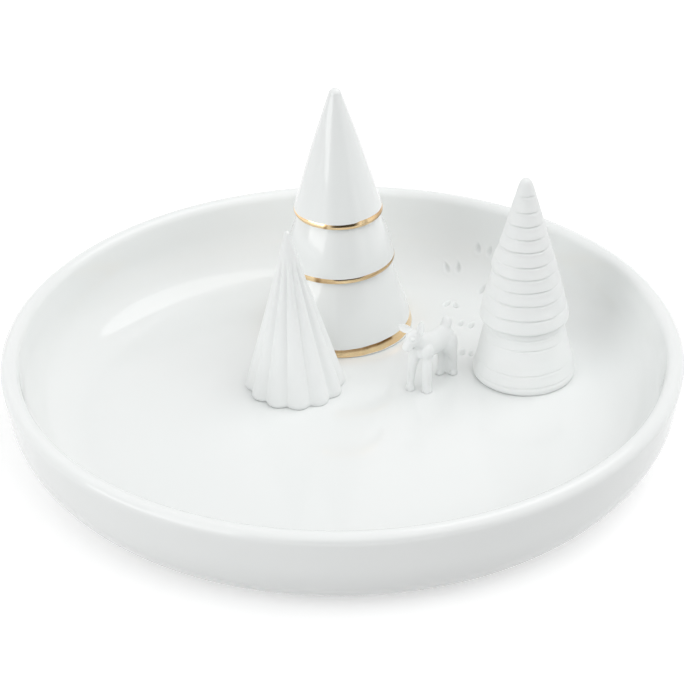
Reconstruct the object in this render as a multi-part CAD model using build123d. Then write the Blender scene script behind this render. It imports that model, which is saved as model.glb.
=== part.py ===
"""A porcelain ring dish: a round dish with three cone trees that hold rings, and a fawn.

Millimetres. The origin is the centre of the foot, on the surface that the dish stands on, with
+Z up. The figures stand on the flat of the floor, towards the back (+Y) and the right (+X).
"""
import os
from math import asin, cos, hypot, radians, sin, tan

from build123d import *

# The dish
dish_radius = 60.0
dish_height = 18.65
wall_thickness = 3.2
wall_draft = 8.7
floor_top = 4.2
cove_radius = 10.4
corner_radius = 13.2
foot_margin = 0.6
foot_width = 3.0
foot_step = 0.3
foot_recess = 1.2
foot_bevel = 1.2
lip_round_share = 0.49

# The hoof prints that lead up the back of the dish
print_length = 2.0
print_width = 0.85
print_depth = 0.4
print_spacing = 2.0
print_splay = 9.0
# Each print's share of the dish radius, then its bearing and its heading in degrees
hoof_print_shares = (
    (0.490, 41.0, 84.0),
    (0.630, 51.7, 74.0),
    (0.713, 60.6, 82.0),
    (0.832, 55.7, 61.0),
    (0.870, 65.7, 74.0),
    (0.923, 60.4, 63.0),
)

# How much of a turned tree's flat tip its rounding takes up
tip_round_share = 0.95

# The tall tree, glazed, in three tiers with a gold band round each rim
tall_height = 48.7
tall_tip_radius = 0.9
tall_upper_rim_radius = 8.4
tall_upper_rim_height = 24.0
tall_upper_belly = 0.2
tall_middle_rim_radius = 10.3
tall_middle_rim_height = 13.75
tall_middle_belly = 0.45
tall_base_radius = 13.3
tall_base_belly = 0.35
tall_rim_round = 0.75
tall_undercut = 1.2
tall_cove_gap = 1.45
tall_bearing = 90.0
band_height = 1.25
lower_band_height = 2.0
band_thickness = 0.2
band_inset = 0.1

# The pleated tree, unglazed
pleated_height = 31.7
pleated_ridge_radius = 9.1
pleated_valley_radius = 8.05
pleated_fade_height = 23.6
pleated_fade_ridge_radius = 2.45
pleated_fade_valley_radius = 2.32
pleated_tip_radius = 0.5
pleated_lean = 0.86
pleated_lean_bearing = 180.0
pleated_bearing = -111.2
pleated_gap = 1.3
pleat_count = 12
pleat_turn = 5.0

# The ridged tree, unglazed, in two tiers of turned rings
ridged_height = 39.6
ridged_tip_radius = 0.95
ridged_rim_radius = 8.1
ridged_rim_height = 11.8
ridged_rim_round = 0.5
ridged_undercut = 0.95
ridged_base_radius = 9.3
ridged_step = 0.22
ridged_upper_rings = 11
ridged_lower_rings = 4
ridged_bearing = 21.0
ridged_cove_gap = 1.1

# The fawn, unglazed
fawn_length = 12.8
fawn_width = 4.2
fawn_height = 13.6
fawn_heading = 226.6
fawn_bearing = 192.2
fawn_stand_off = 7.75
ear_length = 3.6
ear_width = 1.7
ear_thickness = 0.9
# Each row is a place along, aside and up, as shares of the fawn's length, width and height,
# then the section's half width and half depth, as shares of its width
torso_shares = (
    (-0.400, 0, 0.655, 0.10, 0.14),
    (-0.365, 0, 0.655, 0.34, 0.46),
    (-0.250, 0, 0.640, 0.48, 0.67),
    (-0.060, 0, 0.622, 0.47, 0.68),
    (0.120, 0, 0.618, 0.49, 0.72),
    (0.270, 0, 0.632, 0.45, 0.71),
    (0.365, 0, 0.660, 0.31, 0.47),
    (0.400, 0, 0.670, 0.10, 0.16),
)
neck_shares = (
    (0.190, 0, 0.700, 0.42, 0.52),
    (0.300, 0, 0.790, 0.36, 0.42),
    (0.385, 0, 0.865, 0.30, 0.34),
)
head_shares = (
    (0.320, 0, 0.945, 0.10, 0.10),
    (0.345, 0, 0.925, 0.28, 0.27),
    (0.415, 0, 0.872, 0.36, 0.37),
    (0.475, 0, 0.822, 0.30, 0.32),
    (0.535, 0, 0.775, 0.21, 0.23),
    (0.590, 0, 0.735, 0.18, 0.18),
    (0.610, 0, 0.720, 0.08, 0.08),
)
tail_shares = (
    (-0.360, 0, 0.760, 0.16, 0.16),
    (-0.405, 0, 0.790, 0.17, 0.17),
    (-0.440, 0, 0.765, 0.13, 0.14),
    (-0.455, 0, 0.730, 0.04, 0.05),
)
# Each leg from its hoof up: places as above, then the radius as a share of the width
legs_shares = (
    ((0.412, -0.32, 0, 0.215), (0.400, -0.32, 0.07, 0.150),
     (0.360, -0.30, 0.30, 0.155), (0.280, -0.24, 0.60, 0.280)),
    ((0.262, 0.32, 0, 0.245), (0.255, 0.32, 0.07, 0.195),
     (0.262, 0.30, 0.30, 0.205), (0.250, 0.22, 0.60, 0.300)),
    ((-0.262, -0.24, 0, 0.200), (-0.275, -0.24, 0.07, 0.145),
     (-0.315, -0.25, 0.30, 0.150), (-0.250, -0.20, 0.62, 0.320)),
    ((-0.400, 0.23, 0, 0.200), (-0.410, 0.23, 0.07, 0.145),
     (-0.385, 0.25, 0.30, 0.150), (-0.270, 0.20, 0.62, 0.320)),
)
ear_root_shares = (0.355, 0.24, 0.945)
# Each ear's side, then how far it turns out from ahead and how far up, in degrees
ear_turns = ((1, 85.0, 64.0), (-1, 86.0, -8.0))

# The lip is close to a full round, and both faces of the wall touch its circle
lip_round = lip_round_share * wall_thickness
lip_centre_radius = dish_radius - wall_thickness / 2
lip_centre_height = dish_height - wall_thickness / 2


def wall_radius(height, side):
    """The radius of the wall's outer (side 1) or inner (side -1) face at a height."""
    face = lip_centre_radius + side * wall_thickness / 2 / cos(radians(wall_draft))
    return face - (lip_centre_height - height) * tan(radians(wall_draft))


def rounding_centre_radius(height, side, radius):
    """How far out the centre of a rounding is that touches a face of the wall."""
    return wall_radius(height, side) - radius / cos(radians(wall_draft))


cove_centre_height = floor_top + cove_radius
floor_radius = rounding_centre_radius(cove_centre_height, -1, cove_radius)
foot_radius = rounding_centre_radius(foot_step + corner_radius, 1, corner_radius) - foot_margin


def polar(radius, bearing):
    """A step in the plan, from its length and its bearing in degrees."""
    return Vector(radius * cos(radians(bearing)), radius * sin(radians(bearing)))


# Two trees stand near the cove, and the others stand off from them
tall_place = polar(floor_radius - tall_base_radius - tall_cove_gap, tall_bearing)
ridged_place = polar(floor_radius - ridged_base_radius - ridged_cove_gap, ridged_bearing)
pleated_stand_off = tall_base_radius + pleated_gap + pleated_ridge_radius
pleated_place = tall_place + polar(pleated_stand_off, pleated_bearing)
fawn_place = ridged_place + polar(ridged_base_radius + fawn_stand_off, fawn_bearing)


def on_floor(place):
    """The location of a figure that stands on the floor of the dish."""
    return Location((place.X, place.Y, floor_top))


def turned(section):
    """A solid of revolution about Z, from a section drawn as (radius, height)."""
    return revolve(Plane.XZ * section, Axis.Z)


def rounded_at(section, point, radius):
    """The section with its corner nearest to a point rounded."""
    return fillet(section.vertices().sort_by_distance(point)[0], radius)


def dish_section():
    # Radius and height of each corner, and the rounding there
    corners = (
        (0, foot_recess, 0),
        (foot_radius - foot_width - foot_bevel, foot_recess, 0),
        (foot_radius - foot_width, 0, 0),
        (foot_radius, 0, 0),
        (foot_radius, foot_step, 0),
        (wall_radius(foot_step, 1), foot_step, corner_radius),
        (wall_radius(dish_height, 1), dish_height, lip_round),
        (wall_radius(dish_height, -1), dish_height, lip_round),
        (wall_radius(floor_top, -1), floor_top, cove_radius),
        (0, floor_top, 0),
    )
    outline = FilletPolyline(
        [(radius, height) for radius, height, rounding in corners],
        radius=[rounding for radius, height, rounding in corners],
        close=True,
    )
    return make_face(outline)


def inside_surface(place):
    """The point of the dish's inside over a place in the plan, and the way it faces there."""
    past_floor = (hypot(place.X, place.Y) - floor_radius) / cove_radius
    tilt = asin(max(0, min(cos(radians(wall_draft)), past_floor)))
    height = cove_centre_height - cove_radius * cos(tilt)
    facing = Vector(0, 0, 1) * cos(tilt) - place.normalized() * sin(tilt)
    return Vector(place.X, place.Y, height), facing


def toe(place, heading):
    """One pressed oval of a hoof print, square to the surface that it marks."""
    point, facing = inside_surface(place)
    ahead = polar(1, heading)
    ahead = ahead - facing * ahead.dot(facing)
    oval = scale(Sphere(1), (print_length / 2, print_width / 2, print_depth))
    return Plane(point, ahead, facing) * oval


def hoof_print(radius_share, bearing, heading):
    """The two toes of a cloven hoof, which close together at their tips."""
    centre = polar(radius_share * dish_radius, bearing)
    aside = polar(print_spacing / 2, heading + 90)
    return [
        toe(centre + aside, heading - print_splay),
        toe(centre - aside, heading + print_splay),
    ]


def dish():
    toes = [oval for shares in hoof_print_shares for oval in hoof_print(*shares)]
    return turned(dish_section()) - toes


def tier_section(top_radius, top, rim_radius, rim, belly):
    """Half the section of a flaring tier, with a swelling side and a rounded rim."""
    side = SagittaArc((top_radius, top), (rim_radius, rim), belly)
    rest = Polyline((rim_radius, rim), (0, rim), (0, top), (top_radius, top))
    return rounded_at(make_face(side + rest), (rim_radius, rim), tall_rim_round)


def tall_tree_section():
    """The three tiers, where each top reaches into the tier above by the rim's rounding."""
    upper = tier_section(
        tall_tip_radius, tall_height,
        tall_upper_rim_radius, tall_upper_rim_height, tall_upper_belly,
    )
    upper = rounded_at(upper, (tall_tip_radius, tall_height), tall_tip_radius * tip_round_share)
    middle = tier_section(
        tall_upper_rim_radius - tall_undercut, tall_upper_rim_height + tall_rim_round,
        tall_middle_rim_radius, tall_middle_rim_height, tall_middle_belly,
    )
    base = tier_section(
        tall_middle_rim_radius - tall_undercut, tall_middle_rim_height + tall_rim_round,
        tall_base_radius, 0, tall_base_belly,
    )
    return upper + middle + base


def band_section(tree, rim, height):
    """The skin of the tree's section over a band's height, just above a rim."""
    reach = Rectangle(tall_base_radius, height, align=(Align.MIN, Align.MIN))
    reach = Pos(0, rim + band_inset) * reach
    return (tree & reach) - Pos(-band_thickness, 0) * tree


def tall_tree_and_bands():
    """The tall tree with a seat for each gold band, and the bands that fill the seats."""
    tree = tall_tree_section()
    # Each band's rim and its height
    rims = {
        "gold_band_upper": (tall_upper_rim_height, band_height),
        "gold_band_middle": (tall_middle_rim_height, band_height),
        "gold_band_lower": (0, lower_band_height),
    }
    bands = {name: band_section(tree, *rim) for name, rim in rims.items()}
    shapes = {"tall_tree": turned(tree - list(bands.values()))}
    shapes.update((name, turned(section)) for name, section in bands.items())
    return {name: on_floor(tall_place) * shape for name, shape in shapes.items()}


def fluted(ridge_radius, valley_radius, height):
    """A closed ring of round ridges with a sharp valley between each two, at a height."""
    pitch = 360 / pleat_count
    pleats = []
    for pleat in range(pleat_count):
        ridge = pleat_turn + pleat * pitch
        pleats.append(ThreePointArc(
            polar(valley_radius, ridge - pitch / 2),
            polar(ridge_radius, ridge),
            polar(valley_radius, ridge + pitch / 2),
        ))
    centre = polar(pleated_lean * height / pleated_height, pleated_lean_bearing)
    return Pos(centre.X, centre.Y, height) * make_face(Curve() + pleats)


def pleated_tree():
    """Straight pleats that fade out below a smooth tip."""
    tip_height = pleated_height - pleated_tip_radius
    base = fluted(pleated_ridge_radius, pleated_valley_radius, 0)
    fade = fluted(pleated_fade_ridge_radius, pleated_fade_valley_radius, pleated_fade_height)
    end = fluted(pleated_tip_radius, pleated_tip_radius, tip_height)
    pleats = loft([base, fade], ruled=True) + loft([fade, end], ruled=True)
    tip = Pos(end.center()) * Sphere(pleated_tip_radius)
    return on_floor(pleated_place) * (pleats + tip)


def ring_points(top_radius, top, bottom_radius, bottom, count):
    """The corners of a stack of rings, each with its lower edge standing out over the next."""
    points = [(top_radius, top)]
    for ring in range(1, count + 1):
        radius = top_radius + (bottom_radius - top_radius) * ring / count
        height = top + (bottom - top) * ring / count
        points.append((radius, height))
        if ring < count:
            points.append((radius - ridged_step, height))
    return points


def ridged_tree():
    neck_radius = ridged_rim_radius - ridged_undercut
    upper = ring_points(
        ridged_tip_radius, ridged_height, ridged_rim_radius, ridged_rim_height, ridged_upper_rings)
    lower = ring_points(
        neck_radius, ridged_rim_height, ridged_base_radius, 0, ridged_lower_rings)
    section = make_face(Polyline((0, ridged_height), *upper, *lower, (0, 0), close=True))
    section = rounded_at(section, (ridged_rim_radius, ridged_rim_height), ridged_rim_round)
    section = rounded_at(
        section, (ridged_tip_radius, ridged_height), ridged_tip_radius * tip_round_share)
    return on_floor(ridged_place) * turned(section)


def fawn_point(along_share, aside_share, up_share):
    """A point of the fawn, ahead along +X and to its left along +Y."""
    return Vector(along_share * fawn_length, aside_share * fawn_width, up_share * fawn_height)


def swelling(shares):
    """A form through ovals that are square to its path, such as the torso or the head."""
    points = [fawn_point(along, aside, up) for along, aside, up, width, depth in shares]
    ovals = []
    for index, (along, aside, up, width, depth) in enumerate(shares):
        before = points[max(0, index - 1)]
        after = points[min(len(points) - 1, index + 1)]
        square = Plane(points[index], Vector(0, 1, 0), after - before)
        ovals.append(square * Ellipse(width * fawn_width, depth * fawn_width))
    return loft(ovals)


def leg(shares):
    """A leg through level circles, from the sole of its hoof into the body."""
    return loft([
        Pos(fawn_point(along, aside, up)) * Circle(radius * fawn_width)
        for along, aside, up, radius in shares
    ])


def ear(side, out, up):
    """A leaf-shaped ear that points out and up from its root."""
    along, aside, height = ear_root_shares
    level = polar(cos(radians(up)), side * out)
    pointing = Vector(level.X, level.Y, sin(radians(up)))
    middle = fawn_point(along, side * aside, height) + pointing * ear_length / 2
    leaf = scale(Sphere(1), (ear_length / 2, ear_width / 2, ear_thickness / 2))
    facing = pointing.cross(Vector(0, 0, 1).cross(pointing))
    return Plane(middle, pointing, facing) * leaf


def fawn():
    parts = [swelling(shares) for shares in (neck_shares, head_shares, tail_shares)]
    parts += [leg(shares) for shares in legs_shares]
    parts += [ear(*turns) for turns in ear_turns]
    body = swelling(torso_shares) + parts
    return on_floor(fawn_place) * Rot(0, 0, fawn_heading) * body


def build():
    shapes = {
        "dish": dish(),
        **tall_tree_and_bands(),
        "pleated_tree": pleated_tree(),
        "ridged_tree": ridged_tree(),
        "fawn": fawn(),
    }
    os.makedirs("parts", exist_ok=True)
    for name, shape in shapes.items():
        export_step(shape, f"parts/{name}.step")


build()
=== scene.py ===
"""The looks of a porcelain ring dish: clear glaze, gold lustre and bisque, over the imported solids.

The pieces' lengths are in millimetres, and turned into metres where a mesh is made. The floor,
the lights and the camera are in metres.
"""

import math
from math import cos, pi, radians, sin

import bmesh
import bpy
from mathutils import Matrix, Vector, noise


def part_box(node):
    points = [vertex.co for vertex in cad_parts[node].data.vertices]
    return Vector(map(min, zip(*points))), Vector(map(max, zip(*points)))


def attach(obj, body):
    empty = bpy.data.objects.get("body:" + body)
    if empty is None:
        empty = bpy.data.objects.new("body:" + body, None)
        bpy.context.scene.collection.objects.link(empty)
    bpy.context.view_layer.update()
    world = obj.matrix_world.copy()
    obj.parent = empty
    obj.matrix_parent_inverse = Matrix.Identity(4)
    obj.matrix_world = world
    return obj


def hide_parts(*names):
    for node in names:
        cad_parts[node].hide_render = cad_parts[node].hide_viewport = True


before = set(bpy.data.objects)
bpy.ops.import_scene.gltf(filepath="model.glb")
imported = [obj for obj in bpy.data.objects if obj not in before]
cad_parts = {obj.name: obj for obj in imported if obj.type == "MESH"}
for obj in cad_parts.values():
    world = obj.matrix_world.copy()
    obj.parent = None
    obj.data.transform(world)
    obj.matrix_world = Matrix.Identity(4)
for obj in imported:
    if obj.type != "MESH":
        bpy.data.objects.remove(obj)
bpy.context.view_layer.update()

METRES = 0.001
UP = Vector((0, 0, 1))


def box_mm(node):
    """The lowest and highest corners of a CAD node, in millimetres."""
    low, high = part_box(node)
    return low / METRES, high / METRES


def middle_of(node):
    """The middle of a node's box in the plan, at the height of its base."""
    low, high = box_mm(node)
    return Vector(((low.x + high.x) / 2, (low.y + high.y) / 2, low.z))


# Written out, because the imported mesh's box is a hair wider than the dish
dish_radius = 60.0
dish_height = box_mm("dish")[1].z
tall_place = middle_of("tall_tree")
pleated_place = middle_of("pleated_tree")
ridged_place = middle_of("ridged_tree")
floor_top = tall_place.z


# Small tools

def level_at(angle):
    """The level direction at an angle in radians."""
    return Vector((cos(angle), sin(angle), 0))


def unit(angle):
    """The level direction at an angle in degrees."""
    return level_at(radians(angle))


def ease(value, start, end):
    """Smoothly from 0 at start to 1 at end."""
    share = min(1, max(0, (value - start) / (end - start)))
    return share * share * (3 - 2 * share)


def fade(value, start, end):
    """Smoothly from 1 at start to 0 at end."""
    return 1 - ease(value, start, end)


def mix(first, last, share):
    """From first to last in a straight line as share goes from 0 to 1."""
    return first + (last - first) * share


def wobble(place, size, seed):
    """Soft noise from -1 to 1 whose bumps are about that size."""
    return noise.noise(Vector(place) / size + Vector((seed * 7.3, seed * 3.1, seed * 5.7)))


def wobble_round(level, height, across, size, seed):
    """Soft noise round an upright axis, read off a cylinder whose radius is across."""
    return wobble((level.x * across, level.y * across, height), size, seed)


def through(rows, steps):
    """A smooth run of rows through the given ones, by Catmull-Rom."""
    smooth = []
    last = len(rows) - 1
    for index in range(last):
        before, start = rows[max(0, index - 1)], rows[index]
        end, after = rows[index + 1], rows[min(last, index + 2)]
        for step in range(steps):
            t = step / steps
            smooth.append([
                0.5 * (2 * b + (c - a) * t + (2 * a - 5 * b + 4 * c - d) * t * t
                       + (3 * b - a - 3 * c + d) * t ** 3)
                for a, b, c, d in zip(before, start, end, after)
            ])
    smooth.append(list(rows[last]))
    return smooth


def in_scene(name, data):
    """An object in the scene that shows a mesh, a lamp or a camera."""
    thing = bpy.data.objects.new(name, data)
    bpy.context.scene.collection.objects.link(thing)
    return thing


def mesh_of(name, form):
    """A mesh from an edited form, which is freed."""
    mesh = bpy.data.meshes.new(name)
    form.to_mesh(mesh)
    form.free()
    return mesh


def finish_piece(piece, material, node, sharp=None):
    """Gives a piece its material, its smooth shading, the body it rides on and the node
    that it stands for. Edges that turn more than sharp degrees stay crisp."""
    piece.data.materials.append(material)
    piece.data.shade_smooth()
    if sharp:
        piece.data.set_sharp_from_angle(angle=radians(sharp))
    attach(piece, "root")
    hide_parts(node)


def turns(count):
    """That many angles evenly round a circle, in radians."""
    return [2 * pi * k / count for k in range(count)]


def square_to(axis, vector):
    """The direction of a vector without its share along an axis."""
    return (vector - axis * vector.dot(axis)).normalized()


def add_rings(form, rings):
    """Joins rings of points, each as many, into a closed skin."""
    rows = [[form.verts.new(point) for point in ring] for ring in rings]
    for lower, upper in zip(rows, rows[1:]):
        for index in range(len(lower)):
            beside = (index + 1) % len(lower)
            form.faces.new((lower[index], lower[beside], upper[beside], upper[index]))
    form.faces.new(list(reversed(rows[0])))
    form.faces.new(rows[-1])


def turned_piece(name, node, place, section, shape, material, columns, sharp):
    """A closed form turned round an axis through place, from rows that run from the foot up to
    the tip. shape(row, angle) gives a row's point beside the axis at an angle."""
    form = bmesh.new()
    add_rings(form, [[(place + shape(row, turn)) * METRES for turn in turns(columns)]
                     for row in section])
    finish_piece(in_scene(name, mesh_of(name, form)), material, node, sharp)


def arc_points(centre, radius, start, end, steps):
    """Points of an arc in the section, from one angle in degrees to another."""
    angles = [radians(mix(start, end, k / steps)) for k in range(steps + 1)]
    return [Vector(centre) + Vector((cos(turn), sin(turn))) * radius for turn in angles]


def from_front(angle):
    """How far an angle in radians is from the front, in degrees, positive to the right."""
    return (math.degrees(angle) + 90 + 180) % 360 - 180


# Materials

def adder(tree):
    """A function that adds a node to a tree. Its inputs are levels or other nodes' sockets."""
    def add(kind, inputs=(), **settings):
        node = tree.nodes.new(kind)
        for key, value in settings.items():
            setattr(node, key, value)
        for key, value in dict(inputs).items():
            if isinstance(value, bpy.types.NodeSocket):
                tree.links.new(value, node.inputs[key])
            else:
                node.inputs[key].default_value = value
        return node

    return add


def new_material(name):
    """A node material and what fills it: its shader and the functions that add and link nodes."""
    material = bpy.data.materials.new(name)
    material.use_nodes = True
    tree = material.node_tree
    return material, tree.nodes["Principled BSDF"], adder(tree), tree.links.new


def combine(add, kind, first, second):
    """The result of a sum, a product or another operation on two levels or sockets."""
    return add("ShaderNodeMath", {0: first, 1: second}, operation=kind).outputs["Value"]


def noise_of(add, place, scale, detail=2.0, roughness=0.5):
    """A soft noise over a place, with a scale in waves per metre."""
    inputs = {"Vector": place, "Scale": scale, "Detail": detail, "Roughness": roughness}
    return add("ShaderNodeTexNoise", inputs).outputs["Fac"]


def ranged(add, value, low, high):
    """A noise spread from low to high. Most of its values lie between 0.3 and 0.7."""
    inputs = {"Value": value, "From Min": 0.3, "From Max": 0.7, "To Min": low, "To Max": high}
    return add("ShaderNodeMapRange", inputs).outputs["Result"]


def colour_between(add, link, value, first, second):
    """A colour from first to second as a value goes from 0 to 1."""
    node = add("ShaderNodeMix", data_type="RGBA")
    colours = [socket for socket in node.inputs if socket.type == "RGBA"]
    for socket, colour in zip(colours, (first, second)):
        if isinstance(colour, bpy.types.NodeSocket):
            link(colour, socket)
        else:
            socket.default_value = (*colour, 1)
    link(value, node.inputs["Factor"])
    return [socket for socket in node.outputs if socket.type == "RGBA"][0]


def ware(name, colours, colour_noise, gloss, gloss_noise, relief, relief_noise,
         layer=None, stretch=None, **levels):
    """A ceramic surface whose colour and roughness each drift between two, with a fine relief: its
    strength and its depth in metres. A noise is a scale in waves per metre, a detail and a
    roughness. A layer is a mesh attribute and its colour, and a stretch is the relief's."""
    material, shader, add, link = new_material(name)
    place = add("ShaderNodeTexCoord").outputs["Object"]
    drift = ranged(add, noise_of(add, place, *colour_noise), 0.0, 1.0)
    colour = colour_between(add, link, drift, *colours)
    if layer:
        attribute, laid_on = layer
        share = add("ShaderNodeAttribute", attribute_name=attribute).outputs["Fac"]
        colour = colour_between(add, link, share, colour, laid_on)
    link(colour, shader.inputs["Base Color"])
    link(ranged(add, noise_of(add, place, *gloss_noise), *gloss), shader.inputs["Roughness"])
    if stretch:
        place = add("ShaderNodeMapping", {"Vector": place, "Scale": stretch}).outputs["Vector"]
    strength, depth = relief
    height = noise_of(add, place, *relief_noise)
    bump = add("ShaderNodeBump", {"Height": height, "Strength": strength, "Distance": depth})
    link(bump.outputs["Normal"], shader.inputs["Normal"])
    for key, value in levels.items():
        shader.inputs[key].default_value = value
    return material


# Clear glaze over white porcelain: slightly uneven, and darker and cooler in the toe marks, where
# glaze pools and where shade is painted into its colour
glaze = ware("white_glaze", ((0.857, 0.878, 0.872), (0.868, 0.884, 0.878)), colour_noise=(45.0,),
             gloss=(0.03, 0.06), gloss_noise=(90.0,), relief=(0.06, 0.0004),
             relief_noise=(110.0, 1.0), layer=("pooled_glaze_and_shade", (0.64, 0.665, 0.655)), IOR=1.5)
# Unglazed porcelain, matt, with a fine even grain
bisque = ware("bisque", ((0.862, 0.880, 0.875), (0.878, 0.890, 0.884)), colour_noise=(160.0, 3.0),
              gloss=(0.55, 0.68), gloss_noise=(700.0,), relief=(0.14, 0.00006),
              relief_noise=(2600.0, 3.0, 0.6), IOR=1.45)
# Fired gold lustre, brushed on, redder in places, and brown where the film lies thick and where a
# dark reflection is painted
gold = ware("gold_lustre", ((0.95, 0.74, 0.45), (0.88, 0.62, 0.35)), colour_noise=(260.0, 3.0),
            gloss=(0.10, 0.22), gloss_noise=(500.0,), relief=(0.10, 0.00008),
            relief_noise=(420.0, 2.0), layer=("thick", (0.30, 0.16, 0.06)),
            stretch=(1.0, 1.0, 9.0), Metallic=1.0)
# The bare porcelain of the foot, wiped clean of glaze
raw_foot = ware("raw_foot", ((0.80, 0.79, 0.765), (0.85, 0.845, 0.83)), colour_noise=(220.0, 4.0),
                gloss=(0.7, 0.85), gloss_noise=(900.0,), relief=(0.35, 0.00008),
                relief_noise=(1800.0, 4.0, 0.65))


# The dish

wall_thickness = 3.2
wall_draft = radians(8.7)
cove_radius = 10.4
corner_radius = 13.2
foot_margin = 0.6
foot_width = 3.0
foot_step = 0.3
foot_recess = 1.2
foot_bevel = 1.2
lip_round = wall_thickness / 2
lip_radius = dish_radius - lip_round
lip_height = dish_height - lip_round
# The mesh has its seam at the front, and rows at these spacings along the section
dish_columns, dish_seam = 300, -pi / 2
floor_spacing, curve_spacing, lip_spacing, foot_spacing, below_spacing = 1.5, 0.8, 0.25, 0.6, 1.8
weld_distance = 0.002
# The wall's faint waves: how deep and large they are, how far they are shifted inwards, and where
# they set in, by height and by length along the section
wave_depth, wave_size, wave_inwards = 0.035, 16.0, 0.35
wave_heights, wave_lengths = (foot_recess + 0.4, foot_recess + 3.0), (30.0, 44.0)


def wall_radius(height, side):
    """The radius of the wall's outer (1) or inner (-1) face at a height."""
    face = lip_radius + side * lip_round / cos(wall_draft)
    return face - (lip_height - height) * math.tan(wall_draft)


cove_height = floor_top + cove_radius
floor_radius = wall_radius(cove_height, -1) - cove_radius / cos(wall_draft)
corner_height = foot_step + corner_radius
corner_centre = wall_radius(corner_height, 1) - corner_radius / cos(wall_draft)
foot_radius = corner_centre - foot_margin
# Bare porcelain lies below this height, from this radius out to the corner
bare_height = foot_step + 0.25
bare_inside = foot_radius - foot_width - foot_bevel / 3


class Path:
    """A half section as a path of lines and arcs, with a point and a normal at any length."""

    def __init__(self):
        self.parts = []
        self.length = 0.0
        self.rows = [0.0]

    def keep(self, size, point_at, spacing):
        """Adds a part of that length, with rows at about that spacing."""
        self.parts.append((self.length, size, point_at))
        count = max(1, round(size / spacing))
        self.rows += [self.length + size * (k + 1) / count for k in range(count)]
        self.length += size

    def line(self, start, end, spacing):
        """A straight part, whose normal is on its left."""
        start, end = Vector(start), Vector(end)
        ahead = (end - start).normalized()
        normal = Vector((-ahead.y, ahead.x))
        size = (end - start).length
        self.keep(size, lambda s: (start + ahead * s, normal), spacing)

    def arc(self, centre, radius, start, end, spacing, hollow):
        """From one angle to another, in radians. A hollow arc's normal points to its centre."""
        centre = Vector(centre)
        turn = 1 if end > start else -1
        size = abs(end - start) * radius

        def point_at(s):
            angle = start + turn * s / radius
            out = Vector((cos(angle), sin(angle)))
            return centre + out * radius, -out if hollow else out

        self.keep(size, point_at, spacing)

    def at(self, s):
        """The point and the normal at a length."""
        for start, size, point_at in self.parts:
            if s <= start + size + 1e-6:
                return point_at(max(0.0, s - start))
        return self.parts[-1][2](self.parts[-1][1])

    def length_at(self, height):
        """How long a path of lines is where it first comes to a height."""
        for start, size, point_at in self.parts:
            low, high = point_at(0)[0].y, point_at(size)[0].y
            if high >= height:
                return start + size * max(0, (height - low) / max(1e-6, high - low))
        return self.length


def dish_profile():
    """From the middle of the floor, up the cove and over the lip, down to the foot and under."""
    side = pi / 2
    face = Vector((cos(wall_draft), -sin(wall_draft)))
    lip, corner = Vector((lip_radius, lip_height)), Vector((corner_centre, corner_height))
    cove = Vector((floor_radius, cove_height))
    profile = Path()
    profile.line((0, floor_top), (floor_radius, floor_top), floor_spacing)
    profile.arc(cove, cove_radius, -side, -wall_draft, curve_spacing, True)
    profile.line(cove + face * cove_radius, lip - face * lip_round, curve_spacing)
    profile.arc(lip, lip_round, pi - wall_draft, -wall_draft, lip_spacing, False)
    profile.line(lip + face * lip_round, corner + face * corner_radius, curve_spacing)
    profile.arc(corner, corner_radius, -wall_draft, -side, curve_spacing, False)
    foot_inside = foot_radius - foot_width
    below = ((corner_centre, foot_step), (foot_radius, foot_step), (foot_radius, 0),
             (foot_inside, 0), (foot_inside - foot_bevel, foot_recess), (0, foot_recess))
    spacings = (foot_margin / 4, foot_step / 3, foot_spacing, foot_recess / 3, below_spacing)
    for start, end, spacing in zip(below, below[1:], spacings):
        profile.line(start, end, spacing)
    return profile


# Each toe mark's place in the plan, its heading in degrees, and its length, width and depth
toe_marks = (
    (26.55, 48.45, 66, 2.1, 1.10, 0.30),
    (28.75, 47.20, 56, 2.1, 1.00, 0.23),
    (20.50, 47.86, 96, 2.5, 1.05, 0.25),
    (22.65, 47.36, 78, 2.5, 1.05, 0.26),
    (27.08, 41.57, 58, 2.6, 1.05, 0.28),
    (29.00, 40.40, 66, 2.3, 0.95, 0.25),
    (20.28, 37.60, 60, 2.5, 1.00, 0.30),
    (21.75, 36.95, 100, 2.4, 1.15, 0.34),
    (22.48, 30.05, 74, 2.4, 1.05, 0.26),
    (24.42, 29.32, 68, 2.5, 1.10, 0.32),
    (22.30, 19.50, 80, 2.3, 1.10, 0.28),
    (23.90, 19.00, 84, 2.0, 0.90, 0.26),
)
# How far a mark reaches from its middle, how finely the dish is cut up there, and how the mark
# narrows ahead. Its hollow, the ridge pushed up round it and its pool of glaze, which also paints
# shade into the mark, begin and end at these shares of its half width
mark_reach, mark_cuts, mark_taper = 2.6, 7, 0.3
hollow_edge = (0.25, 1.15)
ridge_rise, ridge_fall, ridge_share = (0.95, 1.25), (1.25, 1.9), 0.14
pool_shade_edge, pool_shade_share = (0.3, 1.2), 0.5


class Mark:
    """A pressed toe mark, square to the inside of the dish where it lies."""

    def __init__(self, profile, x, y, heading, length, width, depth):
        self.length, self.width, self.depth = length / 2, width / 2, depth
        # Its length along the profile is its radius on the floor, and is bent up on the cove
        s = math.hypot(x, y)
        if s > floor_radius:
            s = floor_radius + cove_radius * math.asin(min(1, (s - floor_radius) / cove_radius))
        self.centre, normal = on_dish(profile, s, math.atan2(y, x))
        self.ahead = square_to(normal, unit(heading))
        self.aside = normal.cross(self.ahead)

    def sink(self, point):
        """How deep the mark is at a point, below zero on its ridge, and how much glaze pools and
        shade is painted there.
        """
        away = point - self.centre
        along = away.dot(self.ahead) / self.length
        across = away.dot(self.aside) / (self.width * (1 - mark_taper * along))
        spread = math.sqrt(along * along + across * across)
        hollow = self.depth * fade(spread, *hollow_edge)
        rise, fall = ease(spread, *ridge_rise), fade(spread, *ridge_fall)
        ridge = ridge_share * self.depth * rise * fall
        return hollow - ridge, fade(spread, *pool_shade_edge)


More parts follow.
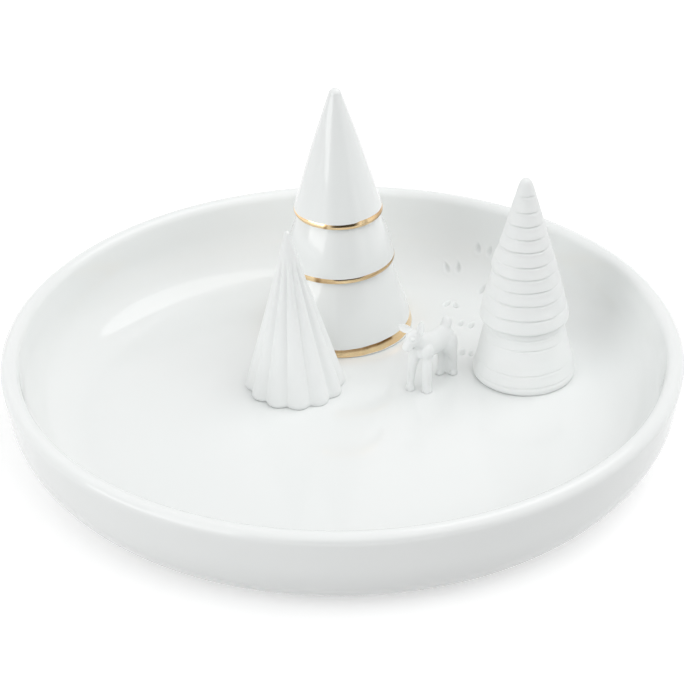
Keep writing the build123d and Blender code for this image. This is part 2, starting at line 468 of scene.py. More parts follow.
def on_dish(profile, s, angle):
    """A point of the dish and the way that its surface faces there."""
    (radius, height), (out, up) = profile.at(s)
    level = level_at(angle)
    return level * radius + UP * height, (level * out + UP * up).normalized()


def marks_at(marks, point, s):
    """The marks that reach a point on the inside of the dish."""
    if s > floor_radius + 2 * cove_radius:
        return []
    return [mark for mark in marks if (point - mark.centre).length < mark_reach]


def make_dish():
    """The dish as a sheet of columns and rows, finer round the marks, then rolled up to its form.
    The sheet is flat at first: x counts its columns and y is the length along the profile."""
    profile = dish_profile()
    marks = [Mark(profile, *row) for row in toe_marks]
    sheet = bmesh.new()
    grid = [[sheet.verts.new((column, s, 0)) for column in range(dish_columns + 1)]
            for s in profile.rows]
    for lower, upper in zip(grid, grid[1:]):
        for column in range(dish_columns):
            sheet.faces.new((lower[column], lower[column + 1], upper[column + 1], upper[column]))

    def rolled_up(flat):
        """Where a point of the flat sheet comes, and the way that the dish faces there."""
        return on_dish(profile, flat.y, dish_seam + 2 * pi * flat.x / dish_columns)

    near = set()
    for face in sheet.faces:
        middle = face.calc_center_median()
        if marks_at(marks, rolled_up(middle)[0], middle.y):
            near.update(face.edges)
    bmesh.ops.subdivide_edges(sheet, edges=list(near), cuts=mark_cuts, use_grid_fill=True)
    pooled_glaze_and_shade = sheet.verts.layers.float.new("pooled_glaze_and_shade")
    for vertex in sheet.verts:
        s = vertex.co.y
        point, facing = rolled_up(vertex.co)
        depth = pool_and_shade = 0.0
        for mark in marks_at(marks, point, s):
            hollow, pool_and_shade_here = mark.sink(point)
            depth += hollow
            pool_and_shade = max(pool_and_shade, pool_and_shade_here)
        calm = ease(point.z, *wave_heights) * ease(s, *wave_lengths)
        wave = wave_depth * (wobble(point, wave_size, 1) - wave_inwards) * calm
        # Pooled glaze and painted shade: this share darkens the toe marks' colour through the
        # glaze's layer
        vertex[pooled_glaze_and_shade] = pool_shade_share * pool_and_shade
        vertex.co = (point + facing * (wave - depth)) * METRES
        vertex.co.z = max(0.0, vertex.co.z)
    bmesh.ops.remove_doubles(sheet, verts=sheet.verts, dist=weld_distance * METRES)
    bmesh.ops.recalc_face_normals(sheet, faces=sheet.faces)
    mesh = mesh_of("dish_body", sheet)
    finish_piece(in_scene("dish_body", mesh), glaze, "dish", sharp=50)
    mesh.materials.append(raw_foot)
    for face in mesh.polygons:
        centre = face.center / METRES
        out = math.hypot(centre.x, centre.y)
        if centre.z < bare_height and bare_inside < out < corner_centre:
            face.material_index = 1


make_dish()


# The tall tree and its gold bands

tall_height = box_mm("tall_tree")[1].z - floor_top
# Each tier's rim as a radius and a height, how far its side swells and how round its rim is
upper_rim, upper_belly, upper_roll = (8.2, 24.0), 0.2, 0.55
middle_rim, middle_belly, middle_roll = (10.2, 13.75), 0.45, 0.75
base_rim, base_belly, base_roll = (13.3, 0.0), 0.35, 0.35
# A tier's top lies in from the rim above it by the undercut and reaches up into it, and the next
# tier's root lies further in
undercut, top_reach, root_reach, root_rise = 1.2, 0.4, 0.5, 0.05
# The upper side's top, as a radius and a drop from the tip, then the tip's rounding: how wide and
# high it is, where it starts in degrees and in how many steps, and the tiny flat that closes it
side_top_radius, side_top_drop = 1.18, 1.0
tip_wide, tip_high, tip_start, tip_steps, tip_end = 1.22, 1.18, 18, 9, 0.03
tall_lean, tall_unevenness = 0.62, 0.03
# The rows round each rim and up each side, and the gap kept between the two
roll_rows, belly_rows, row_gap = 14, 40, 0.1
# The middle tier rises to its right: by how much per millimetre, and over which heights
tilt, tilt_comes, tilt_goes = 0.035, (9.0, 13.0), (16.0, 22.0)

# Each brushed band's edges, as heights over its rim: degrees from the front, low edge, high edge,
# and how thick the film is there, which paints it brown: a thick film and a painted dark reflection
upper_edges = (
    (-180, 0.12, 1.0, 0), (-100, 0.14, 0.8, 0), (-70, 0.1, 0.95, 0), (-38, 0.03, 1.15, 0),
    (-21, 0.05, 1.15, 0), (-17, 0.05, 1.15, 0.7), (-13, 0.05, 1.1, 0), (3, 0.05, 1.1, 0),
    (20, 0.03, 1.15, 0), (30, 0.03, 1.35, 0.1), (45, 0.06, 1.35, 0.2), (68, 0.14, 1.3, 0.7),
    (110, 0.2, 1.1, 0),
)
middle_edges = (
    (-180, 0.1, 1.1, 0), (-90, 0.15, 1.15, 0), (-30, 0.1, 1.3, 0), (-24, 0.08, 1.3, 0.8),
    (-18, 0.06, 1.25, 0.2), (5, 0.05, 1.15, 0), (16, 0.03, 1.1, 0.1), (33, 0.2, 1.2, 0.3),
    (48, 0.4, 1.2, 0.4), (68, 0.5, 1.15, 0.5), (110, 0.4, 1.1, 0),
)
lower_edges = (
    (-180, 0.3, 1.9, 0), (-90, 0.2, 1.8, 0), (-30, 0.05, 1.65, 0.2), (0, 0.05, 1.6, 0.6),
    (12, 0.15, 1.75, 0.7), (27, 0.35, 1.95, 0.9), (44, 0.5, 2.15, 1.0), (48, 0.5, 2.15, 0),
    (65, 0.6, 2.25, 0), (90, 0.7, 2.4, 0), (120, 0.5, 2.1, 0),
)


def edges_at(rows, angle):
    """A band's values at an angle, eased from row to row and back to the first."""
    away = from_front(angle)
    closed = list(rows) + [(180,) + rows[0][1:]]
    for first, last in zip(closed, closed[1:]):
        if first[0] <= away <= last[0]:
            share = ease(away, first[0], last[0])
            return [mix(low, high, share) for low, high in zip(first[1:], last[1:])]
    return list(rows[0][1:])


def bellied(top, bottom, belly, steps):
    """A side that swells outwards between two (radius, height) points, from bottom to top."""
    top, bottom = Vector(top), Vector(bottom)
    out = Vector((top.y - bottom.y, bottom.x - top.x)).normalized()
    return [mix(bottom, top, k / steps) + out * belly * 4 * (k / steps) * (1 - k / steps)
            for k in range(steps + 1)]


def tier(rim, roll, top, belly):
    """A tier's section from under its rolled rim, which runs smoothly into its swelling side."""
    swell = math.atan2(4 * belly, math.dist(rim, top))
    slope = math.atan2(rim[0] - top[0], top[1] - rim[1]) - swell
    out = roll * (math.tan(slope) + 1 / cos(slope) - 1)
    centre = (rim[0] - roll, rim[1] + roll)
    section = arc_points(centre, roll, -90, math.degrees(slope), roll_rows)
    side = bellied(top, (rim[0] + out, rim[1]), belly, belly_rows)
    return section + [point for point in side if point.y > section[-1].y + row_gap]


def tall_sections():
    """The three tiers' sections, from the base up."""
    base_top = (middle_rim[0] - undercut, middle_rim[1] + top_reach)
    middle_top = (upper_rim[0] - undercut, upper_rim[1] + top_reach)
    upper_top = (side_top_radius, tall_height - side_top_drop)
    base = tier(base_rim, base_roll, base_top, base_belly)
    middle = tier(middle_rim, middle_roll, middle_top, middle_belly)
    upper = tier(upper_rim, upper_roll, upper_top, upper_belly)
    for k in range(1, tip_steps):
        turn = radians(mix(tip_start, 90, k / tip_steps))
        upper.append(Vector((tip_wide * cos(turn),
                             tall_height - tip_high + tip_high * sin(turn))))
    return base, middle, upper + [Vector((tip_end, tall_height))]


def tall_shape(row, angle):
    """The hand-finished cone, which leans a little to the left and isn't quite round."""
    radius, height = row
    level = level_at(angle)
    uneven = tall_unevenness * wobble_round(level, height, across=6, size=5.0, seed=3)
    point = level * (radius + uneven * min(1, radius / 3))
    rise = tilt * ease(height, *tilt_comes) * fade(height, *tilt_goes) * point.x
    return point + Vector((-tall_lean * height / tall_height, 0, height + rise))


def make_tall_tree():
    """The three tiers as one skin, each rising out of the underside of the next."""
    section = base
    for rim, above in ((middle_rim, middle), (upper_rim, upper)):
        root = Vector((rim[0] - undercut - root_reach, rim[1] + root_rise))
        section = section + [root] + above
    turned_piece("tall_tree_body", "tall_tree", tall_place, section, tall_shape,
                 glaze, columns=240, sharp=40)


# A band's crown over the tree and its root in it, and how far its low and high edges waver
band_columns, band_steps, root_steps = 360, 12, 4
band_crown, band_root = 0.02, -0.12
low_waver, high_waver = 0.04, 0.05
# Where a band's brown, a thick film and painted dark reflection, begins, as a share of its height,
# and how soft its edge is
all_over, at_top, painted_reflection_blend = -0.2, 0.66, 0.12


def make_band(name, node, tier_rows, rim, edges, painted_reflection_from, seed):
    """A skin of lustre over a tier's rolled rim, with brushed edges and a low crown."""
    path = Path()
    for start, end in zip(tier_rows, tier_rows[1:]):
        path.line(start, end, 1)
    shares = [k / band_steps for k in range(band_steps + 1)]
    loop = [(share, band_crown * (1 - abs(2 * share - 1) ** 4)) for share in shares]
    loop += [(k / root_steps, band_root) for k in range(root_steps, -1, -1)]
    points, film_and_painted_reflection = [], []
    for angle in turns(band_columns):
        level = level_at(angle)
        low, high, thick = edges_at(edges, angle)
        low += low_waver * wobble_round(level, 9, across=5, size=1.1, seed=seed)
        high += high_waver * wobble_round(level, 0, across=5, size=1.6, seed=seed + 1)
        start, end = path.length_at(rim[1] + low), path.length_at(rim[1] + high)
        for share, lift in loop:
            point, inwards = path.at(mix(start, end, share))
            points.append((tall_place + tall_shape(point - inwards * lift, angle)) * METRES)
            # The band's brown share: a thick film, and a dark reflection painted into its colour
            covered = ease(share, painted_reflection_from - painted_reflection_blend, painted_reflection_from + painted_reflection_blend)
            film_and_painted_reflection.append(thick * covered)
    count = len(loop)
    faces = []
    for column in range(band_columns):
        here, there = column * count, ((column + 1) % band_columns) * count
        for row in range(count):
            above = (row + 1) % count
            faces.append((here + row, there + row, there + above, here + above))
    mesh = bpy.data.meshes.new(name)
    mesh.from_pydata(points, [], faces)
    mesh.attributes.new("thick", "FLOAT", "POINT").data.foreach_set("value", film_and_painted_reflection)
    finish_piece(in_scene(name, mesh), gold, node, sharp=60)


base, middle, upper = tall_sections()
make_tall_tree()
make_band("upper_band", "gold_band_upper", upper, upper_rim, upper_edges, all_over, seed=11)
make_band("middle_band", "gold_band_middle", middle, middle_rim, middle_edges, all_over, seed=14)
make_band("lower_band", "gold_band_lower", base, base_rim, lower_edges, at_top, seed=17)


# The pleated tree

pleated_height = box_mm("pleated_tree")[1].z - floor_top
# The pleats: how far they are turned, their radii at the foot, how blunt their valleys are, and how
# they deepen with every millimetre of height and fade out under the tip
pleat_count, pleat_turn, pleat_columns = 12, 5.0, 26
pleat_ridge, pleat_valley, pleat_blunt = 9.1, 8.05, 0.012
pleat_growth, pleats_fade = 1 / 50, (24.0, 27.5)
# The bend in the cone's side, and the rows below it, above it and round the tip
bend_radius, bend_height = 2.45, 23.6
side_rows, bend_rows, tip_rows = 46, 12, 6
pleated_tip, pleated_lean, pleated_unevenness = 0.5, 0.86, 0.05
# The foot's rounded edge: how far in from the full radius, and how high
pleated_foot = ((0.9, 0), (0.5, 0.08), (0.2, 0.28), (0.0, 0.7))
# A foot's edge is rounded in full at its left, and by a share of that at its right
rubbed_right, rubbed_over = 0.4, (-50, 30)


def footed(radius, height, full, foot, away):
    """The radius of a foot's rounded edge, which is rubbed in further at the left."""
    if height >= foot[-1][1]:
        return radius
    return full - (full - radius) * mix(1.0, rubbed_right, ease(away, *rubbed_over))


def pleated_shape(row, angle):
    """Straight pleats with round ridges and narrow valleys, which end below the tip."""
    radius, height = row
    radius = footed(radius, height, pleat_ridge, pleated_foot, from_front(angle))
    turn = pleat_count * (angle - radians(pleat_turn)) / 2
    hump = math.sqrt(cos(turn) ** 2 + pleat_blunt)
    deep = (pleat_ridge - pleat_valley) / pleat_ridge * (1 + height * pleat_growth)
    depth = radius * deep * fade(height, *pleats_fade)
    level = level_at(angle)
    uneven = pleated_unevenness * wobble_round(level, height * 0.4, across=5, size=4.0, seed=5)
    point = level * (radius - depth * (1 - hump) + uneven * min(1, radius / 3))
    return point + Vector((-pleated_lean * height / pleated_height, 0, height))


def make_pleated_tree():
    """A cone with a rounded foot, a bend below the top and a round tip."""
    section = [Vector((pleat_ridge - inset, height)) for inset, height in pleated_foot]
    top = pleated_height - pleated_tip
    corners = (section[-1], Vector((bend_radius, bend_height)), Vector((pleated_tip, top)))
    for low, high, rows in zip(corners, corners[1:], (side_rows, bend_rows)):
        section += [mix(low, high, k / rows) for k in range(1, rows + 1)]
    section += arc_points((0, top), pleated_tip, 0, 90, tip_rows)[1:-1]
    section.append(Vector((tip_end, pleated_height)))
    turned_piece("pleated_tree_body", "pleated_tree", pleated_place, section, pleated_shape,
                 bisque, columns=pleat_count * pleat_columns, sharp=50)


make_pleated_tree()


# The ridged tree

ridged_height = box_mm("ridged_tree")[1].z - floor_top
ridged_base = 9.3
ridged_foot = ((1.1, 0), (0.6, 0.08), (0.25, 0.28), (0.06, 0.6), (0.0, 0.9))
# The upper tier's rim and its roll, and the hollow under it: how far in from the neck's radius,
# and how far below the rim
ridged_rim, ridged_roll, roll_end, roll_steps = (8.1, 11.8), 0.6, 14, 9
ridged_neck, rim_hollow = 7.1, ((0.12, 0.7), (0.3, 0.4), (0.55, 0.2), (0.75, 0.08))
# Where the two grooved sides begin and end, and how far the upper one swells
lower_start, lower_end = (ridged_base, 1.0), (ridged_neck, ridged_rim[1] - 1.1)
upper_end, upper_swell = (1.45, ridged_height - 1.9), 0.2
# The rounded tip: radius, then how far below the top
ridged_tip = ((1.32, 1.4), (1.2, 1.05), (1.05, 0.7), (0.87, 0.4), (0.65, 0.2), (0.4, 0.07),
              (tip_end, 0))
ridged_lean, ridged_unevenness = 0.4, 0.07
# The grooves: how deep they are, how far they waver, how faint they are behind, over which angles
# they set in and end, and where they stay level
groove_depth, groove_waver = 0.36, 0.14
faint_depth, faint_change = 0.22, 0.2
sets_in, ends_over = (-16, 14), (34, 52)
level_foot, level_tip = (0.6, 3.0), 2.5
# One ring bulges at the left: how far, between which heights, and where it ends
bulge, bulge_rises, bulge_falls, bulge_ends = 0.4, (21.8, 22.8), (23.4, 27.0), (-80, -35)
# Each carved groove's height, from the tip down, the angle from the front where it begins at the
# left, and its depth as a share of the deepest
upper_grooves = (
    (36.6, -40, 0.5), (33.8, -40, 0.7), (31.4, -60, 0.9), (29.1, -15, 0.8), (26.9, -100, 1.0),
    (24.2, -20, 0.9), (22.0, -100, 1.0), (19.7, -32, 0.9), (17.3, -45, 1.0), (14.6, -38, 1.0),
)
lower_grooves = ((10.4, -32, 0.7), (8.5, -15, 0.6), (3.8, -25, 0.45), (1.6, -40, 0.45))
# A groove's section: how far above its height, then how far out, as a share of its depth
groove_section = (
    (-0.42, 0.10), (-0.32, 0.02), (-0.08, -0.85), (-0.02, -1.0), (0.04, -0.7), (0.09, 0.12),
    (0.16, 0.34), (0.30, 0.38), (0.60, 0.26), (0.95, 0.12),
)
# A side's plain rows, which are left out this far below and above a groove
plain_rows, groove_below, groove_above = 60, 0.5, 1.05


def grooved_side(grooves, bottom, top, belly):
    """Rows of a sloping side from bottom to top: radius, height, then a groove's share in or
    out, where it begins and its depth."""
    bottom, top = Vector(bottom), Vector(top)
    rows = [(mix(bottom.y, top.y, k / plain_rows), 0.0, 0.0, 0.0) for k in range(plain_rows + 1)]
    for height, begin, deep in grooves:
        rows = [row for row in rows
                if not height - groove_below < row[0] < height + groove_above]
        rows += [(height + over, out, begin, deep) for over, out in groove_section]
    rows = sorted(row for row in rows if bottom.y <= row[0] <= top.y)
    full = []
    for row in rows:
        share = (row[0] - bottom.y) / (top.y - bottom.y)
        full.append((mix(bottom.x, top.x, share) + 4 * belly * share * (1 - share),) + row)
    return full


def ridged_shape(row, angle):
    """Grooves cut by hand over the front, which waver, and only faint ones behind."""
    radius, height, share, begin, deep = row
    level = level_at(angle)
    away = from_front(angle)
    starts, full = sets_in
    front = ease(away, begin + starts, begin + full) * fade(away, *ends_over)
    behind = wobble_round(level, height * 0.5, across=4, size=3.0, seed=9)
    depth = groove_depth * deep * max(front, faint_depth + faint_change * behind)
    waver = groove_waver * wobble_round(level, height * 0.8, across=7, size=5.0, seed=7)
    uneven = ridged_unevenness * wobble_round(level, height * 1.6, across=7, size=3.4, seed=8)
    ring = bulge * ease(height, *bulge_rises) * fade(height, *bulge_falls)
    radius = footed(radius, height, ridged_base, ridged_foot, away)
    radius += ring * fade(away, *bulge_ends)
    point = level * (radius + share * depth + uneven * min(1, radius / 4))
    calm = fade(height, ridged_height - level_tip, ridged_height)
    waver *= calm * ease(height, *level_foot)
    return point + Vector((-ridged_lean * height / ridged_height, 0, height + waver))


def make_ridged_tree():
    """Two grooved sides, the upper one with a rolled rim, between a rounded foot and tip."""
    def plain(radius, height):
        return radius, height, 0, 0, 0

    rim_radius, rim_height = ridged_rim
    foot = [plain(ridged_base - inset, height) for inset, height in ridged_foot]
    lower = grooved_side(lower_grooves, lower_start, lower_end, 0.0)
    hollow = [plain(ridged_neck - inset, rim_height - down) for inset, down in rim_hollow]
    arc = arc_points((rim_radius - ridged_roll, rim_height + ridged_roll), ridged_roll,
                     -90, roll_end, roll_steps)
    roll = [plain(*point) for point in arc]
    upper = grooved_side(upper_grooves, arc[-1], upper_end, upper_swell)
    tip = [plain(radius, ridged_height - down) for radius, down in ridged_tip]
    section = foot + lower + hollow + roll + upper[1:] + tip
    turned_piece("ridged_tree_body", "ridged_tree", ridged_place, section, ridged_shape,
                 bisque, columns=260, sharp=50)


make_ridged_tree()


# The fawn, in its own frame: ahead along X, its left along Y, its hooves at height 0

# It stands beside the ridged tree: which way from it, how far from its side, and its heading
fawn_bearing, fawn_gap, fawn_heading = 192.2, 7.75, 226.6
fawn_place = ridged_place + unit(fawn_bearing) * (ridged_base + fawn_gap)

# Each row is a place, then the half width and the half depth of the form there
torso = (
    (-4.5, 0, 8.7, 0.5, 0.75), (-4.15, 0, 8.65, 1.25, 1.7), (-3.2, 0, 8.5, 1.65, 2.3),
    (-1.8, 0, 8.45, 1.65, 2.4), (-0.2, 0, 8.45, 1.65, 2.35), (1.4, 0, 8.55, 1.75, 2.4),
    (2.8, 0, 8.75, 1.65, 2.3), (3.7, 0, 9.1, 1.15, 1.65), (4.2, 0, 9.3, 0.45, 0.7),
)
neck = (
    (2.2, 0, 9.4, 1.55, 1.95), (3.4, 0, 10.3, 1.35, 1.6), (4.3, 0, 11.2, 1.15, 1.3),
    (4.9, 0, 11.85, 1.05, 1.15),
)
head = (
    (4.05, 0, 12.7, 0.35, 0.35), (4.4, 0, 12.4, 0.98, 0.95), (5.1, 0, 11.8, 1.32, 1.32),
    (5.7, 0, 11.15, 1.2, 1.35), (6.25, 0, 10.62, 0.95, 1.12), (6.74, 0, 10.18, 0.85, 0.95),
    (7.1, 0, 9.92, 0.7, 0.76), (7.3, 0, 9.76, 0.3, 0.34),
)
tail = (
    (-3.2, 0, 10.2, 1.05, 0.85), (-3.55, 0, 11.1, 1.12, 0.66), (-3.9, 0, 11.8, 0.95, 0.5),
    (-4.15, 0, 12.12, 0.4, 0.26),
)
right_fore_leg = (
    (4.55, -1.5, 0, 0.88, 0.95), (4.55, -1.5, 0.55, 0.86, 0.9), (4.5, -1.48, 1.2, 0.68, 0.68),
    (4.4, -1.42, 2.6, 0.68, 0.7), (4.32, -1.35, 3.9, 0.76, 0.8), (4.2, -1.25, 5.2, 0.86, 0.94),
    (3.9, -1.1, 6.9, 1.02, 1.25), (3.4, -0.9, 8.6, 1, 1.5),
)
left_fore_leg = (
    (3.1, 1.15, 0, 1.02, 1.06), (3.1, 1.15, 0.6, 1, 1.02), (3.08, 1.15, 1.3, 0.86, 0.86),
    (3.08, 1.13, 2.6, 0.9, 0.9), (3.06, 1.12, 3.9, 0.96, 0.96), (2.95, 1.08, 5, 0.92, 0.96),
    (2.75, 1, 6.2, 0.86, 1), (2.6, 0.9, 8.2, 0.9, 1.4),
)
left_hind_leg = (
    (-4.6, 0.68, 0, 0.85, 0.9), (-4.62, 0.68, 0.5, 0.82, 0.86), (-4.7, 0.7, 1.15, 0.68, 0.68),
    (-4.68, 0.74, 2.6, 0.72, 0.74), (-4.45, 0.8, 3.9, 0.82, 0.9), (-4, 0.84, 5.3, 1, 1.25),
    (-3.5, 0.84, 7, 1.25, 1.75), (-3.1, 0.8, 8.4, 1.15, 1.7),
)
right_hind_leg = (
    (-3, -1.12, 0, 0.85, 0.9), (-3.02, -1.12, 0.5, 0.82, 0.86), (-3.15, -1.1, 1.15, 0.68, 0.68),
    (-3.38, -1.08, 2.6, 0.72, 0.74), (-3.5, -1.04, 3.9, 0.82, 0.9), (-3.35, -1, 5.3, 1, 1.25),
    (-3.1, -0.92, 7, 1.25, 1.75), (-2.9, -0.8, 8.4, 1.15, 1.7),
)
legs = (right_fore_leg, left_fore_leg, left_hind_leg, right_hind_leg)
# The web of clay that closes the gap between the hind legs
web = (
    (-3.85, -0.2, 0.4, 0.95, 0.34), (-3.95, -0.18, 2.6, 0.98, 0.38), (-3.95, -0.12, 4.6, 1, 0.55),
    (-3.6, 0, 6.8, 1, 1.1),
)
# The head turns a little to its right, round the top of the neck
head_turn, neck_top = -12.0, Vector((4.4, 0, 0))
# The left ear's root, where its hollow faces, its length, its half width and half thickness, how
# its front and back are cupped, how it bends, and how it swells from its root
ear_root, ear_front = Vector((4.45, 1.0, 12.35)), Vector((0.9, 0.3, 0.25))
ear_length, ear_wide, ear_deep, ear_thinnest = 3.5, 0.85, 0.42, 0.05
ear_cup, ear_back, ear_bend, ear_start, ear_point = 0.62, 0.35, 0.3, 0.16, 1.15
# Each ear's side, then how far it turns out from ahead and how far up, in degrees
ear_turns = ((1, 97.0, 80.0), (-1, 62.0, 4.0))
# The left eye, and the furrow of its lid: its push, and where it begins, is deepest and ends
eye_place, eye_inset, eye_radii = Vector((5.9, 1.02, 12.0)), 0.04, Vector((0.34, 0.272, 0.289))
lid_push, lid_inside, lid_outside = Vector((0.25, 0.9, 0.2)) * 0.2, (0.28, 0.44), (0.44, 0.85)
nostril_place = Vector((7.15, 0.34, 10.22))
nostril_push, nostril_edge = Vector((0.8, 0, 0.3)) * 0.22, (0.05, 0.34)
# The cleft in each hoof: its push, how far ahead of the hoof's middle it lies, and where it ends
cleft_push, cleft_ahead = Vector((0.24, 0, 0)), (0.25, 1.5)
cleft_side, cleft_top = (0.04, 0.26), (0.8, 1.3)
# The left haunch and shoulder: place and radii
swellings = ((Vector((-3.3, 1.1, 7.7)), Vector((1.35, 0.85, 1.9))),
             (Vector((3.0, 1.25, 8.35)), Vector((1.2, 0.95, 1.6))))
# How fine the fawn's one skin is drawn over its parts, and how much it is smoothed
grain, smoothing, smoothing_rounds = 0.13, 0.5, 5


def on_side(point, side):
    """A point of the left side (1), or its mirror image on the right (-1)."""
    return Vector((point.x, side * point.y, point.z))


def turn_head(point):
    """Where a point of the head comes when the head is turned."""
    return neck_top + Matrix.Rotation(radians(head_turn), 3, "Z") @ (point - neck_top)


def add_limb(form, rows, around=28):
    """A limb, or the trunk, through ovals square to its path."""
    smooth = through(rows, 6)
    rings = []
    for index, row in enumerate(smooth):
        before, after = smooth[max(0, index - 1)], smooth[min(len(smooth) - 1, index + 1)]
        ahead = (Vector(after[:3]) - Vector(before[:3])).normalized()
        aside = square_to(ahead, Vector((0, 1, 0)))
        depth = ahead.cross(aside)
        centre, wide, deep = Vector(row[:3]), row[3], row[4]
        rings.append([centre + aside * wide * cos(turn) + depth * deep * sin(turn)
                      for turn in turns(around)])
    add_rings(form, rings)


def add_ear(form, side, out, up):
    """A leaf-shaped ear, hollow on its front."""
    rise = radians(up)
    pointing = on_side(unit(out), side) * cos(rise) + UP * sin(rise)
    front = square_to(pointing, on_side(ear_front, side))
    aside = pointing.cross(front)
    rings = []
    steps, around = 16, 24
    for step in range(steps + 1):
        along = step / steps
        swell = sin(pi * min(1, mix(ear_start, 1, along)) ** ear_point)
        wide, deep = max(ear_thinnest, ear_wide * swell), max(ear_thinnest, ear_deep * swell)
        centre = on_side(ear_root, side) + pointing * ear_length * along
        ring = []
        for turn in turns(around):
            across, thick = cos(turn), sin(turn)
            cup = ear_cup * swell * (1 - across * across) * (1 if thick > 0 else ear_back)
            push = thick * deep - cup + ear_bend * swell
            ring.append(centre + aside * across * wide + front * push)
        rings.append(ring)
    add_rings(form, rings)


def add_ball(form, centre, radii):
    """A round bump, as a ball of rings."""
    steps, around = 10, 16
    rings = []
    for step in range(1, steps):
        rise = pi * step / steps - pi / 2
        rings.append([centre + (level_at(turn) * cos(rise) + UP * sin(rise)) * radii
                      for turn in turns(around)])
    add_rings(form, rings)


def carve_fawn(point):
    """How far a point of the fawn moves for its small features: eyes, nostrils and hooves."""
    move = Vector((0, 0, 0))
    for side in (1, -1):
        away = (point - turn_head(on_side(eye_place, side))).length
        lid = ease(away, *lid_inside) * fade(away, *lid_outside)
        move -= on_side(lid_push, side) * lid
        away = (point - turn_head(on_side(nostril_place, side))).length
        move -= nostril_push * fade(away, *nostril_edge)
    for leg in legs:
        hoof_x, hoof_y = leg[0][:2]
        if cleft_ahead[0] < point.x - hoof_x < cleft_ahead[1]:
            cleft = fade(abs(point.y - hoof_y), *cleft_side)
            move -= cleft_push * cleft * fade(point.z, *cleft_top)
    return move


def keep_skin(mesh):
    """Deletes all of a mesh but its largest connected skin, such as voids shut in by the remesh."""
    form = bmesh.new()
    form.from_mesh(mesh)
    unseen = set(form.verts)
    skins = []
    while unseen:
        skin = [unseen.pop()]
        for vertex in skin:
            beside = {edge.other_vert(vertex) for edge in vertex.link_edges} & unseen
            unseen -= beside
            skin += beside
        skins.append(skin)
    skins.sort(key=len)
    loose = [vertex for skin in skins[:-1] for vertex in skin]
    bmesh.ops.delete(form, geom=loose, context="VERTS")
    form.to_mesh(mesh)
    form.free()


def make_fawn():
    """The fawn's parts, joined by one skin into which its small features are pressed."""
    form = bmesh.new()
    add_limb(form, head)
    for side, out, up in ear_turns:
        add_ear(form, side, out, up)
    for side in (1, -1):
        add_ball(form, on_side(eye_place - Vector((0, eye_inset, 0)), side), eye_radii)
    for vertex in form.verts:
        vertex.co = turn_head(vertex.co)
    for rows in (torso, neck, tail, web) + legs:
        add_limb(form, rows)
    for side in (1, -1):
        for centre, radii in swellings:
            add_ball(form, on_side(centre, side), radii)
    bmesh.ops.recalc_face_normals(form, faces=form.faces)
    fawn = in_scene("fawn_body", mesh_of("fawn_body", form))
    remesh = fawn.modifiers.new("remesh", "REMESH")
    remesh.mode = "VOXEL"
    remesh.voxel_size = grain
    smooth = fawn.modifiers.new("smooth", "SMOOTH")
    smooth.factor = smoothing
    smooth.iterations = smoothing_rounds
    graph = bpy.context.evaluated_depsgraph_get()
    solid = bpy.data.meshes.new_from_object(fawn.evaluated_get(graph))
    keep_skin(solid)
    fawn.modifiers.clear()
    fawn.data = solid
    solid.name = "fawn_body"
    turn = Matrix.Rotation(radians(fawn_heading), 3, "Z")
    for vertex in solid.vertices:
        point = vertex.co + carve_fawn(vertex.co)
        point.z = max(0.0, point.z)
        vertex.co = (fawn_place + turn @ point) * METRES
    finish_piece(fawn, bisque, "fawn")


make_fawn()


# The floor, the light and the camera

# The floor's greys and edges, and how much it is lifted to white where it is seen, also mirrored
floor_greys = ((0.64, 0.64, 0.64), (0.66, 0.66, 0.66))
floor_side, floor_back, floor_front = 1.2, 1.2, -0.22
floor_lift = 0.5
# The room's level, and each soft glow's azimuth, elevation, reach in degrees and level
room_level = 0.37
glows = (
    (45, 62, 55, 0.41),
    (90, 30, 45, 0.64),
    (225, 30, 45, 0.50),
    (0, 50, 35, 0.60),
    (45, 38, 35, 0.68),
)
# The dark side behind the camera: azimuth, elevation, where it ends and where it is darkest
dark_side = (14, 0, 42, 24)
dark_level = 0.05
# Each soft light's name, azimuth, elevation, width, height, radiance and outline
lamp_distance = 0.9
soft_boxes = (
    ("window", -58, 16, 0.84, 0.32, 2.2, "RECTANGLE"),
    ("window_top", -50, 36, 0.44, 0.30, 1.3, "RECTANGLE"),
    ("window_low", -55, 5, 0.86, 0.30, 0.5, "RECTANGLE"),
    ("umbrella", 125, 60, 0.54, 0.61, 1.6, "ELLIPSE"),
)
# The photograph's view: azimuth 0, from above, on a long lens
sensor_width, lens = 36.0, 140.47
camera_place = Vector((0, -0.4030, 0.2607))
camera_pitch, camera_roll = radians(58.994), radians(-0.869)


def make_floor():
    """A pale floor under the dish, which is lifted to white where it is seen."""
    material, shader, add, link = new_material("studio_floor")
    shader.inputs["Roughness"].default_value = 0.9
    place = add("ShaderNodeTexCoord").outputs["Object"]
    drift = ranged(add, noise_of(add, place, scale=3.0), 0.0, 1.0)
    link(colour_between(add, link, drift, *floor_greys), shader.inputs["Base Color"])
    path = add("ShaderNodeLightPath").outputs
    direct = combine(add, "MAXIMUM", path["Is Camera Ray"], path["Is Transmission Ray"])
    seen = combine(add, "MAXIMUM", direct, path["Is Glossy Ray"])
    shader.inputs["Emission Color"].default_value = (1, 1, 1, 1)
    link(combine(add, "MULTIPLY", seen, floor_lift), shader.inputs["Emission Strength"])
    mesh = bpy.data.meshes.new("studio_floor")
    corners = [(-floor_side, floor_front, 0), (floor_side, floor_front, 0),
               (floor_side, floor_back, 0), (-floor_side, floor_back, 0)]
    mesh.from_pydata(corners, [], [(0, 1, 2, 3)])
    mesh.materials.append(material)
    floor = in_scene("studio_floor", mesh)


def direction(azimuth, elevation):
    """Where something stands from the dish: azimuth 0 is the camera's side, and 90 the right."""
    rise = radians(elevation)
    return unit(azimuth - 90) * cos(rise) + UP * sin(rise)


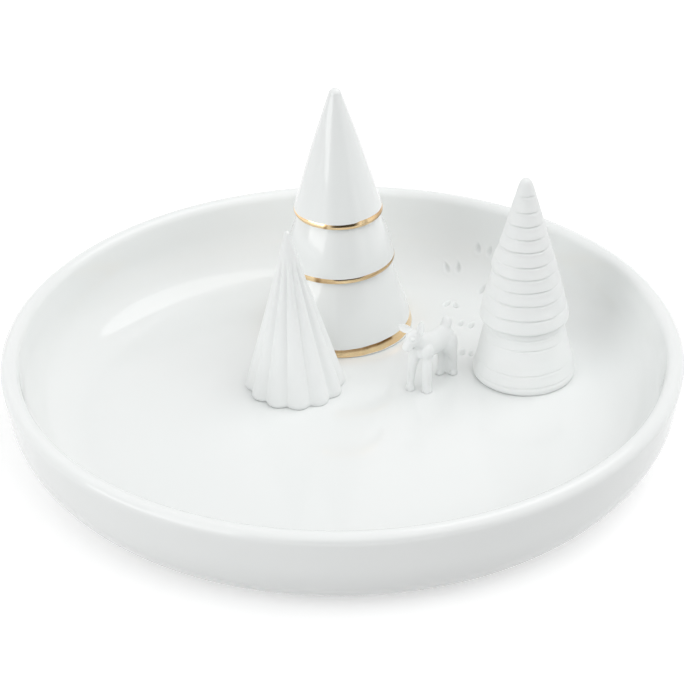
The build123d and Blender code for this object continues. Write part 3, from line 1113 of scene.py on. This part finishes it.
def make_world():
    """White where it is seen, also in a mirror, but for a dark card behind the camera. The object
    is lit by a pale room with soft glows."""
    world = bpy.data.worlds.new("studio")
    world.use_nodes = True
    tree = world.node_tree
    add = adder(tree)
    towards = add("ShaderNodeTexCoord").outputs["Generated"]

    def either(choice, off, on):
        """One level where choice is 0, and the other where it is 1."""
        inputs = {"Factor": choice, "A": off, "B": on}
        return add("ShaderNodeMix", inputs, data_type="FLOAT").outputs["Result"]

    def level_towards(azimuth, elevation, start, end, low, high):
        """A level that goes from low, further away than start degrees, to high within end."""
        facing = add("ShaderNodeVectorMath", {0: towards, 1: direction(azimuth, elevation)},
                     operation="DOT_PRODUCT").outputs["Value"]
        inputs = {"Value": facing, "To Min": low, "To Max": high,
                  "From Min": cos(radians(start)),
                  "From Max": cos(radians(end))}
        return add("ShaderNodeMapRange", inputs, interpolation_type="SMOOTHSTEP").outputs["Result"]

    level = room_level
    for azimuth, elevation, reach, strength in glows:
        glow = level_towards(azimuth, elevation, reach, reach / 4, 0.0, strength)
        level = combine(add, "ADD", level, glow)
    card = level_towards(*dark_side, 1.0, dark_level)
    path = add("ShaderNodeLightPath").outputs
    lit = combine(add, "MULTIPLY", level, card)
    mirrored = either(path["Is Glossy Ray"], lit, card)
    seen = combine(add, "MAXIMUM", path["Is Camera Ray"], path["Is Transmission Ray"])
    background = tree.nodes["Background"].inputs
    tree.links.new(either(seen, mirrored, 1.0), background["Strength"])
    background["Color"].default_value = (1, 1, 1, 1)
    bpy.context.scene.world = world


def soft_box(name, azimuth, elevation, width, height, radiance, shape):
    """An area lamp that looks at the dish, which gives its radiance evenly over its face."""
    lamp = bpy.data.lights.new(name, "AREA")
    lamp.shape = shape
    lamp.size, lamp.size_y = width, height
    area = width * height * (pi / 4 if shape == "ELLIPSE" else 1)
    lamp.energy = radiance * pi * area
    place = direction(azimuth, elevation) * lamp_distance
    box = in_scene(name, lamp)
    box.location = place
    box.rotation_euler = (-place).to_track_quat("-Z", "Y").to_euler()


def make_camera():
    """The camera that took the photograph, as it was solved from the dish's outline."""
    camera = bpy.data.cameras.new("camera")
    camera.sensor_width, camera.lens = sensor_width, lens
    camera.dof.use_dof = False
    camera.clip_start, camera.clip_end = 0.01, 10.0
    holder = in_scene("camera", camera)
    holder.matrix_world = (Matrix.Translation(camera_place) @ Matrix.Rotation(camera_pitch, 4, "X")
                           @ Matrix.Rotation(camera_roll, 4, "Z"))
    bpy.context.scene.camera = holder


make_floor()
make_world()
for box in soft_boxes:
    soft_box(*box)
make_camera()
bpy.context.scene.view_settings.view_transform = "Standard"
